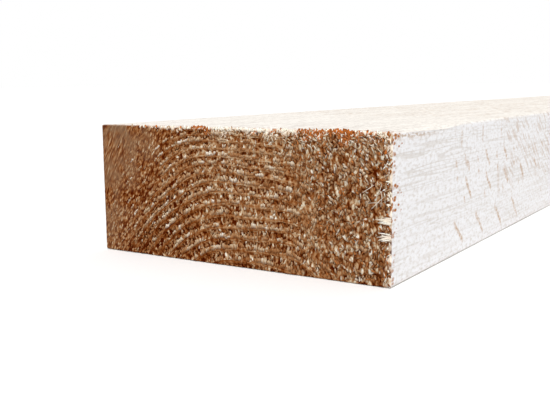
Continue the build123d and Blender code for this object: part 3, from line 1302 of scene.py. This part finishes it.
def saw_streaks(tree, place, along, up, cloudy, fluffy):
    """Steep streaks in patches beyond the first dashes, and one upright mark before them."""
    steep = mottle(tree, place, STREAK_SIZE, 1.5, STREAK_TURN)
    beyond = times(tree, rise(tree, along, *STREAKS_IN), rise(tree, up, *STREAKS_UP, 0.2, 1.0))
    streaks = times(tree, beyond, rise(tree, cloudy, 0.36, 0.52), rise(tree, steep, 0.5, 0.64))
    off = calc(tree, "SUBTRACT", along, scaled(tree, up, UPRIGHT_LEAN, UPRIGHT_ALONG))
    mark = times(tree, fall(tree, calc(tree, "ABSOLUTE", off), *UPRIGHT_WIDE),
                 rise_and_fall(tree, up, *UPRIGHT_UP))
    return calc(tree, "MAXIMUM", streaks, times(tree, mark, rise(tree, fluffy, 0.3, 0.6, 0.3, 0.8)))


def striations(tree, along, striped, cloudy):
    """Fine lines along the grain, in patches, weaker away from the near end."""
    level = calc(tree, "SUBTRACT", calc(tree, "FRACT", times(tree, striped, LINE_COUNT)), 0.5)
    thin = fall(tree, calc(tree, "ABSOLUTE", level), 0.04, 0.2)
    lines = times(tree, thin, rise(tree, cloudy, 0.3, 0.6, 0.3, 1.0))
    return times(tree, lines, rise(tree, along, *LINES_WEAKEN, 0.6, 0.4))


def ring_bands(tree, striped):
    """Faint bands where the growth rings come out on a face."""
    phase = calc(tree, "FRACT", scaled(tree, striped, 0.15, attribute(tree, "ring")))
    return rise_and_fall(tree, phase, 0.4, 0.9, 0.93, 1.0)


def end_specks(tree, place, along, up):
    """Brown specks on the faces close to both ends, thick in two stretches of the height."""
    thick = calc(tree, "MAXIMUM", rise_and_fall(tree, up, *SPECKS_LOWER), rise(tree, up, *SPECKS_UPPER))
    from_end = calc(tree, "MINIMUM", along, calc(tree, "SUBTRACT", LONG, along))
    spread = times(tree, from_end, blend(tree, thick, SPECKS_THIN_FAST, SPECKS_THIN))
    distance, number = cells(tree, place, SPECK_SIZE)
    near = calc(tree, "ADD", distance, spread)
    specks = times(tree, fall(tree, near, 0.38, 0.68), rise(tree, number, 0.15, 0.4))
    return times(tree, specks, blend(tree, thick, 0.7, 1.0))


def crushed_and_shaded_arris(tree, along, up, wide, fluffy):
    """Crushed wood with painted shade on the narrow faces, under the upper arris near the near end."""
    crushed_shade = times(tree, rise(tree, up, *CRUSHED_SHADE_UP), fall(tree, along, *CRUSHED_SHADE_THINS))
    crushed_shade = times(tree, crushed_shade, rise(tree, fluffy, 0.35, 0.6))
    return times(tree, crushed_shade, rise(tree, wide, 0.05, 0.2, 0.8, 0.0))


def sawn_face():
    """Pale sawn wood: fine striations along the length, slanting saw marks, brown specks at the ends."""
    made, tree, surface, place = new_material("sawn_face")
    apart = node(tree, "SeparateXYZ", Vector=place)
    along = times(tree, calc(tree, "SUBTRACT", apart.outputs[0], LOW.x), 1 / MM)
    up = times(tree, calc(tree, "SUBTRACT", apart.outputs[2], LOW.z), 1 / MM)
    facing = node(tree, "SeparateXYZ", Vector=node(tree, "TexCoord").outputs["Normal"])
    wide = calc(tree, "ABSOLUTE", facing.outputs[2])
    striped = mottle(tree, place, STRIPE_SIZE, 1)
    cloudy = mottle(tree, place, CLOUD_SIZE, 2)
    fluffy = mottle(tree, place, FLUFF_SIZE, 2, roughness=0.6)
    lines = striations(tree, along, striped, cloudy)
    dashes = saw_marks(tree, place, along, up, cloudy, fluffy)
    streaks = saw_streaks(tree, place, along, up, cloudy, fluffy)
    layers = (
        (times(tree, ring_bands(tree, striped), BAND_SHARE), TAN_MARK),
        (lines, GREY_LINE),
        (times(tree, rise(tree, fluffy, 0.42, 0.72), FLUFF_SHARE), GREY_LINE),
        # A tan band of crushed wood and painted shade under the bruised arris
        (crushed_and_shaded_arris(tree, along, up, wide, fluffy), TAN_MARK),
        (times(tree, streaks, STREAK_SHARE), TAN_MARK),
        (times(tree, dashes, DASH_SHARE), DASH_TAN),
        (end_specks(tree, place, along, up), BROWN_SPECK),
    )
    colour = mix(tree, wide, linear(PALE_FACE), linear(CREAM_FACE))
    for share, tint in layers:
        colour = mix(tree, share, colour, linear(tint))
    dress(tree, surface, colour, FACE_ROUGHNESS, FACE_GLOSS)
    relief = scaled(tree, dashes, -1.0, scaled(tree, lines, -0.5, fluffy))
    emboss(tree, surface, relief, FACE_BUMP, FACE_BUMP_SHARE)
    return made


# The crosscut ends

def about_pith(tree, place):
    """Places on an end in millimetres: across and up from the pith, and along the ring."""
    apart = node(tree, "SeparateXYZ", Vector=place)
    across = scaled(tree, apart.outputs[1], -1 / MM, MID_Y / MM - PITH_ACROSS)
    up = scaled(tree, apart.outputs[2], 1 / MM, PITH_DOWN - LOW.z / MM)
    return across, up, times(tree, calc(tree, "ARCTAN2", across, up), ARC_RADIUS)


def ring_mottle(tree, arc, ring, arc_size, per_ring, detail):
    """Noise that follows the rings: features of a size along them, and so many to a ring across them."""
    vector = node(tree, "CombineXYZ", X=times(tree, arc, 1 / arc_size), Y=times(tree, ring, per_ring))
    return speckle(tree, vector.outputs[0], detail)


def grains(tree, place, sizes, turn=(0, 0, 0), near=0.2, far=0.75):
    """Rounded grains: how far a place lies in the gap between them, and a tone of its own for each."""
    distance, tone = cells(tree, place, sizes, turn)
    return rise(tree, distance, near, far), tone


def pit_shade(tree, ring, arc, up):
    """Painted shade in the torn pits of each ring, also where the mesh is sunk in pits, softer toward the
    upper rim.
    """
    phase = calc(tree, "FRACT", calc(tree, "ADD", ring, HOLE_SHIFT))
    spots = ring_mottle(tree, arc, ring, SPOT_ARC, SPOT_PER_RING, 1.5)
    shaded_hole = times(tree, rise_and_fall(tree, phase, *HOLE_PHASE), rise(tree, spots, 0.47, 0.58))
    shaded_hole = calc(tree, "MAXIMUM", shaded_hole, times(tree, attribute(tree, "shaded_hole"), 0.5))
    return times(tree, shaded_hole, rise(tree, up, *PITS_UP, 1.0, 0.8))


def ringed_tone(tree, place, ring, upright):
    """Tone of the ringed middle: smooth dense bands with painted shade along their inner edge, between rows
    of pits darkened as painted shade and pale grains.
    """
    across, up, arc = about_pith(tree, place)
    phase = calc(tree, "FRACT", ring)
    gap, grain = grains(tree, place, TORN_GRAIN)
    torn = rise(tree, across, *TORN_PALER, 0.49, 0.55)
    torn = scaled(tree, calc(tree, "SUBTRACT", upright, 0.5), 1.2, torn)
    torn = scaled(tree, gap, -0.3, scaled(tree, grain, 0.36, torn))
    lined = calc(tree, "SUBTRACT", ring_mottle(tree, arc, ring, LINE_ARC, LINE_PER_RING, 1), 0.5)
    smooth = scaled(tree, upright, 0.9, rise(tree, across, *SMOOTH_PALER, -0.24, -0.04))
    smooth = scaled(tree, lined, 0.9, smooth)
    smooth = calc(tree, "ADD", smooth, rise(tree, up, *SMOOTH_UP, 0.0, 0.09))
    tone = blend(tree, rise_and_fall(tree, phase, *BAND_PHASE), torn, smooth)
    # Painted shade darkens the tone in the pits
    tone = scaled(tree, pit_shade(tree, ring, arc, up), rise(tree, across, *PITS_PALER, -0.72, -0.46), tone)
    # Painted shade along the inner edge of each dense band
    tone = scaled(tree, rise_and_fall(tree, phase, *SHADED_EDGE_PHASE), -0.1, tone)
    return calc(tree, "ADD", tone, rise(tree, up, *DULL_UP, -0.07, 0.02))


def clean_tone(tree, place, ring, coarseness):
    """Tone of the left, where the saw ran clean: hatched in the top corner, pebbly below it."""
    gap, grain = grains(tree, place, LEFT_GRAIN, LEFT_GRAIN_TURN)
    pebbles = scaled(tree, gap, -0.62, scaled(tree, grain, 0.26, 0.16))
    hatch = fall(tree, coarseness, 0.0, 0.22)
    bold = scaled(tree, times(tree, coarseness, coarseness), 0.6, 0.5)
    pebbles = times(tree, pebbles, scaled(tree, hatch, -0.35, bold))
    slanted = scaled(tree, mottle(tree, place, SLANTED_SIZE, 2, SLANTED_TURN), 1.4, -0.7)
    hatched = scaled(tree, mottle(tree, place, HATCH_SIZE, 1, HATCH_TURN), 1.8, -0.9)
    wave = calc(tree, "COSINE", times(tree, calc(tree, "FRACT", ring), 2 * math.pi))
    tone = scaled(tree, times(tree, wave, coarseness), 0.1, blend(tree, hatch, slanted, hatched))
    return calc(tree, "ADD", pebbles, calc(tree, "ADD", tone, blend(tree, coarseness, 0.30, 0.33)))


def fuzzy_tone(tree, place):
    """Tone of the fuzzy right: blotches and small grains."""
    blotchy = mottle(tree, place, BLOTCH_SIZE, 2)
    gap, grain = grains(tree, place, FUZZY_GRAIN, near=0.35, far=0.8)
    tone = scaled(tree, calc(tree, "SUBTRACT", blotchy, 0.5), 1.3, 0.45)
    return scaled(tree, gap, -0.56, scaled(tree, grain, 0.4, tone))


def end_grain():
    """Crosscut wood: a ringed middle, a clean left, a fuzzy right, and a cream and rusty rim."""
    made, tree, surface, place = new_material("end_grain")
    ring, left, right = attribute(tree, "ring"), attribute(tree, "left"), attribute(tree, "right")
    coarseness, rim, rust = attribute(tree, "coarse"), attribute(tree, "rim"), attribute(tree, "rust")
    upright = mottle(tree, place, UPRIGHT_SIZE, 1.5)
    patchy = mottle(tree, place, PATCH_SIZE, 2)
    torn = blend(tree, right, ringed_tone(tree, place, ring, upright), fuzzy_tone(tree, place))
    tone = blend(tree, left, torn, clean_tone(tree, place, ring, coarseness))
    tone = calc(tree, "ADD", tone, rise(tree, patchy, 0.3, 0.7, -0.07, 0.07))
    weathered = times(tree, left, blend(tree, coarseness, 0.75, 0.0), rise(tree, patchy, 0.35, 0.6))
    pale_rim = times(tree, calc(tree, "SUBTRACT", rim, rust), rise(tree, upright, 0.3, 0.6, 0.75, 1.0))
    rusty = times(tree, rust, rise(tree, upright, 0.35, 0.6, 0.5, 1.0))
    colour = ramp(tree, tone, WOOD_TONES)
    for share, tint in ((weathered, GREY_BROWN), (pale_rim, RIM_CREAM), (rusty, RUST)):
        colour = mix(tree, share, colour, linear(tint))
    dress(tree, surface, colour, END_ROUGHNESS, gloss=0.0)
    emboss(tree, surface, tone, END_BUMP, END_BUMP_SHARE)
    return made


def torn_fibre():
    """Loose wood fibre: each has its own tone, with a fine mottle."""
    made, tree, surface, place = new_material("torn_fibre")
    fine = rise(tree, mottle(tree, place, FIBRE_SIZE, 2), 0.3, 0.7, 0.0, 0.2)
    colour = mix(tree, fine, attribute(tree, "tone", "Color"), linear(MIDDLE_TONE))
    dress(tree, surface, colour, END_ROUGHNESS, gloss=0.0)
    return made


def paint(body):
    """Gives the long faces the sawn finish and both ends the end grain."""
    body.data.materials.clear()
    body.data.materials.append(sawn_face())
    body.data.materials.append(end_grain())
    for face in body.data.polygons:
        at_end = abs(face.center.x) > LENGTH / 2 - END_ZONE
        face.material_index = 1 if at_end and abs(face.normal.x) > END_FACING else 0


# Stage

def lay_floor():
    """A white floor that keeps the plank's shadow and runs out into the white background."""
    deselect()
    bpy.ops.mesh.primitive_plane_add(size=FLOOR_SIZE, location=(0, 0, LOW.z - FLOOR_DROP))
    floor = bpy.context.object
    floor.name = "floor"
    made, tree, surface, _ = new_material("floor")
    dress(tree, surface, FLOOR_WHITE, roughness=1.0, gloss=0.0)
    floor.data.materials.append(made)


def light_surroundings():
    """Even soft light from all round, which the camera sees as plain white."""
    world = bpy.data.worlds.new("surroundings")
    bpy.context.scene.world = world
    world.use_nodes = True
    tree = world.node_tree
    tree.nodes.clear()
    path = node(tree, "LightPath")
    seen = calc(tree, "MAXIMUM", path.outputs["Is Camera Ray"], path.outputs["Is Glossy Ray"])
    seen = calc(tree, "MAXIMUM", seen, path.outputs["Is Transmission Ray"])
    glow = node(tree, "Background", Color=WHITE, Strength=SKY_LIGHT)
    white = node(tree, "Background", Color=WHITE, Strength=SKY_SEEN)
    either = node(tree, "MixShader")
    for socket, value in zip(either.inputs, (seen, glow.outputs[0], white.outputs[0])):
        plug(tree, socket, value)
    output = node(tree, "OutputWorld")
    tree.links.new(either.outputs[0], output.inputs[0])


def hang_sun():
    """One soft sun from above."""
    sun = bpy.data.objects.new("sun", bpy.data.lights.new("sun", "SUN"))
    sun.data.energy = SUN_LIGHT
    sun.data.angle = math.radians(SUN_SPREAD)
    sun.rotation_mode = "QUATERNION"
    sun.rotation_quaternion = Vector(TO_SUN).to_track_quat("Z", "Y")
    bpy.context.scene.collection.objects.link(sun)


def aim_camera():
    """A camera low in front of the near end, a little to the front side."""
    camera = bpy.data.objects.new("camera", bpy.data.cameras.new("camera"))
    camera.data.lens = LENS
    camera.data.sensor_width = SENSOR
    camera.data.clip_start = CLIP_START
    camera.location = [corner + offset for corner, offset in zip(LOW, CAMERA_FROM_CORNER)]
    camera.rotation_euler = [math.radians(turn) for turn in CAMERA_TURN]
    bpy.context.scene.collection.objects.link(camera)
    bpy.context.scene.camera = camera
    bpy.context.scene.view_settings.view_transform = "Standard"


plank = saw_plank()
bruise_arris(plank)
paint(plank)
roughen(plank)
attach(plank, "root")
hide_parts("plank")

fibre = torn_fibre()
for piece in (torn_fibres(), far_fibres(), rim_fibres()):
    piece.data.materials.append(fibre)
    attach(piece, "root")

lay_floor()
light_surroundings()
hang_sun()
aim_camera()
